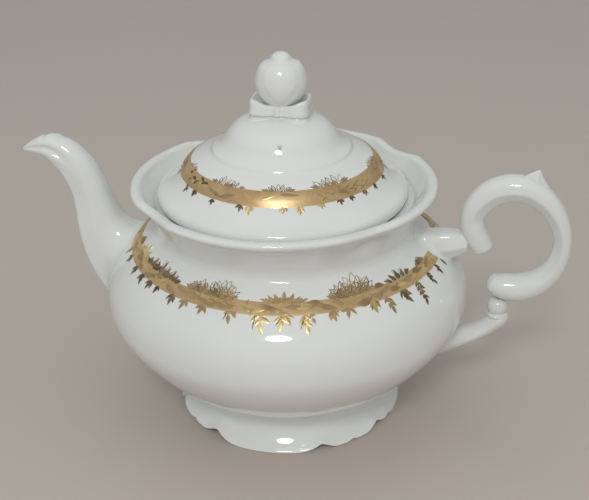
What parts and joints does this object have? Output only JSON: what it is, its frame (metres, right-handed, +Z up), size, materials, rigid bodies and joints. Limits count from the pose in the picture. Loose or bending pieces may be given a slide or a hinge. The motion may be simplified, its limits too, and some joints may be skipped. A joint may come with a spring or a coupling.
{
  "type": "teapot",
  "caption": "Glazed porcelain teapot with a round belly on a scalloped foot, flared lobed collar, sunken domed lid with bud knob, S-shaped spout and C-scroll handle.",
  "frame": {"origin": "on the surface that the foot stands on, under the middle of the bounding box, 0.4 mm from the belly's own axis", "axes": "+Z up, +X from the spout towards the handle, +Y across the pot"},
  "size_m": [0.2586, 0.1706, 0.1746],
  "materials": {
    "porcelain_body": "glossy clear glaze over white porcelain, with a fired gold band",
    "porcelain_lid": "glossy clear glaze over white porcelain, with a fired gold band"
  },
  "bodies": {
    "pot": {"pot_body": "porcelain_body", "gallery_collar": "porcelain_body", "foot_ring": "porcelain_body", "spout": "porcelain_body", "handle_loop": "porcelain_body", "handle_lug": "porcelain_body", "handle_bead": "porcelain_body", "handle_strut": "porcelain_body"},
    "lid": {"lid_shell": "porcelain_lid", "lid_flange": "porcelain_lid", "knob_bow": "porcelain_lid", "knob_bud": "porcelain_lid"}
  },
  "joints": [
    {"name": "lid_lift", "type": "slide", "parent": "pot", "child": "lid", "axis": [0, 0, 1], "range_m": [0, 0.06]}
  ]
}
